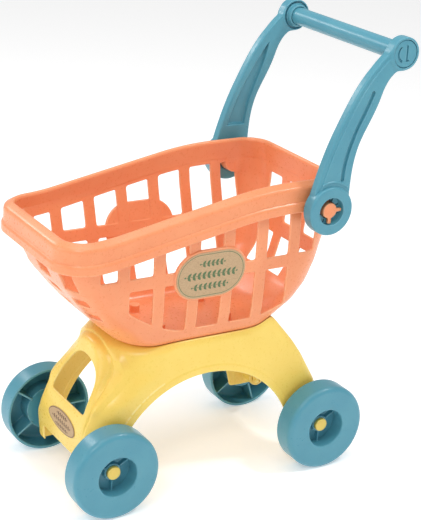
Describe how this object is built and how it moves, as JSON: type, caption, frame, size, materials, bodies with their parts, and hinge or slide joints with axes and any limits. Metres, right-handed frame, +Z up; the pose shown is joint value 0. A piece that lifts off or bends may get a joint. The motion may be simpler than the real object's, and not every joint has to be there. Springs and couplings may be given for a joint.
{
  "type": "toy shopping cart",
  "caption": "Child's toy shopping cart: slotted plastic basket on an arched chassis, free-spinning hollow wheels and a push handle that folds forward over the basket.",
  "frame": {"origin": "on the ground, on the mid-plane, under the middle of the overall length, which is 3.5 mm behind the middle of the wheelbase", "axes": "+Z up; -Y is the direction of travel, towards the front; +X is the cart's left-hand side"},
  "size_m": [0.1892, 0.3344, 0.419],
  "materials": {
    "basket_plastic": "semi-gloss moulded polypropylene, salmon orange",
    "chassis_plastic": "semi-gloss moulded polypropylene, soft yellow",
    "blue_plastic": "semi-gloss moulded polypropylene, dusty blue",
    "sticker_paper": "matt kraft-paper sticker with a plain green border",
    "screw_steel": "zinc-plated steel"
  },
  "bodies": {
    "frame": {"basket": "basket_plastic", "chassis": "chassis_plastic", "axle_pin_front_left": "chassis_plastic", "axle_pin_front_right": "chassis_plastic", "axle_pin_rear_left": "chassis_plastic", "axle_pin_rear_right": "chassis_plastic", "basket_badge_left": "sticker_paper", "basket_badge_right": "sticker_paper", "front_badge": "sticker_paper", "basket_screw_front_left": "screw_steel", "basket_screw_front_right": "screw_steel", "basket_screw_rear_left": "screw_steel", "basket_screw_rear_right": "screw_steel"},
    "handle": {"handle_arm_left": "blue_plastic", "handle_arm_right": "blue_plastic", "handle_bar": "blue_plastic", "bar_cap_left": "blue_plastic", "bar_cap_right": "blue_plastic"},
    "front_left_wheel": {"wheel_front_left": "blue_plastic"},
    "front_right_wheel": {"wheel_front_right": "blue_plastic"},
    "rear_left_wheel": {"wheel_rear_left": "blue_plastic"},
    "rear_right_wheel": {"wheel_rear_right": "blue_plastic"}
  },
  "joints": [
    {"name": "handle_fold", "type": "hinge", "parent": "frame", "child": "handle", "pos_m": [0, 0.085, 0.267], "axis": [1, 0, 0], "range_deg": [0, 105]},
    {"name": "front_left_spin", "type": "hinge", "parent": "frame", "child": "front_left_wheel", "pos_m": [0.0735, -0.1145, 0.042], "axis": [1, 0, 0], "continuous": true},
    {"name": "front_right_spin", "type": "hinge", "parent": "frame", "child": "front_right_wheel", "pos_m": [-0.0735, -0.1145, 0.042], "axis": [1, 0, 0], "continuous": true},
    {"name": "rear_left_spin", "type": "hinge", "parent": "frame", "child": "rear_left_wheel", "pos_m": [0.0735, 0.1075, 0.042], "axis": [1, 0, 0], "continuous": true},
    {"name": "rear_right_spin", "type": "hinge", "parent": "frame", "child": "rear_right_wheel", "pos_m": [-0.0735, 0.1075, 0.042], "axis": [1, 0, 0], "continuous": true}
  ]
}
